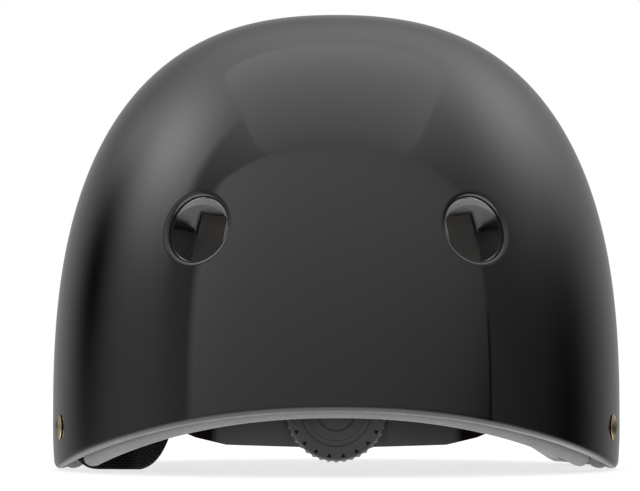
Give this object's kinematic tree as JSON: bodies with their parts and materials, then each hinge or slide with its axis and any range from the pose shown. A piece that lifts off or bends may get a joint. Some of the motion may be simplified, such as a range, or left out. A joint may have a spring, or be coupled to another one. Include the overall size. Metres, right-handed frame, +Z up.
{
  "type": "bmx helmet",
  "caption": "Hard-shell BMX and skate helmet with foam liner, round vents, riveted webbing straps with a side-release buckle and a dial-adjusted fit band.",
  "frame": {"origin": "bottom centre of the box: on the surface that the rim stands on, under the middle of the dome", "axes": "+X to the wearer's right, +Y to the front (brow), +Z up to the crown"},
  "size_m": [0.214, 0.2719, 0.1715],
  "materials": {
    "shell": "high gloss black ABS shell",
    "foam": "light grey moulded bead foam",
    "pad": "black brushed knit over soft foam",
    "rivet": "dark antique brass",
    "steel": "zinc-plated",
    "webbing": "black woven polyester webbing",
    "buckle": "fine-textured moulded black acetal",
    "keeper": "matt black rubber",
    "band": "semi-matt flexible dark plastic",
    "dial": "satin dark grey moulded plastic"
  },
  "bodies": {
    "helmet": {"outer_shell": "shell", "eps_liner": "foam", "brow_pad": "pad", "front_pad_left": "pad", "front_pad_right": "pad", "rear_pad_left": "pad", "rear_pad_right": "pad", "crown_pad": "pad", "pad_fasteners": "pad", "strap_rivets": "rivet", "rivet_washers": "steel", "anchor_sockets": "buckle", "anchor_pins": "buckle", "front_strap_left": "webbing", "rear_strap_left": "webbing", "front_strap_right": "webbing", "rear_strap_right": "webbing", "strap_divider_left": "buckle", "strap_divider_right": "buckle", "chin_strap_left": "webbing", "chin_strap_right": "webbing", "buckle_socket": "buckle", "tail_keeper": "keeper"},
    "buckle_plug": {"buckle_plug": "buckle"},
    "fit_arms": {"temple_arm_left": "band", "temple_arm_right": "band"},
    "yoke": {"yoke_housing": "dial", "yoke_cover": "band", "yoke_screws": "steel", "click_spring": "steel", "nape_pads": "pad"},
    "dial": {"dial_knob": "dial", "dial_pinion": "band", "dial_screw": "steel"},
    "band_left": {"rack_band_left": "band"},
    "band_right": {"rack_band_right": "band"}
  },
  "joints": [
    {"name": "buckle_release", "type": "slide", "parent": "helmet", "child": "buckle_plug", "axis": [0.9781, 0, -0.2079], "range_m": [0, 0.018], "deforming": ["chin_strap_right"]},
    {"name": "fit_tilt", "type": "hinge", "parent": "helmet", "child": "fit_arms", "pos_m": [0, 0.04, 0.03], "axis": [1, 0, 0], "range_deg": [-4, 4]},
    {"name": "yoke_advance", "type": "slide", "parent": "fit_arms", "child": "yoke", "axis": [0, 1, 0], "range_m": [0, 0.0126]},
    {"name": "dial_turn", "type": "hinge", "parent": "yoke", "child": "dial", "pos_m": [0, -0.115, 0.022], "axis": [0, 1, 0], "range_deg": [0, 120]},
    {"name": "band_feed_left", "type": "hinge", "parent": "yoke", "child": "band_left", "pos_m": [0, -0.028, 0.022], "axis": [0, 0, 1], "range_deg": [0, 9.22]},
    {"name": "band_feed_right", "type": "hinge", "parent": "yoke", "child": "band_right", "pos_m": [0, -0.028, 0.022], "axis": [0, 0, -1], "range_deg": [0, 9.22]}
  ],
  "couplings": [
    {"joint": "yoke_advance", "follows": "dial_turn", "m_per_rad": 0.006},
    {"joint": "band_feed_left", "follows": "dial_turn", "ratio": 0.076433},
    {"joint": "band_feed_right", "follows": "dial_turn", "ratio": 0.076433}
  ]
}
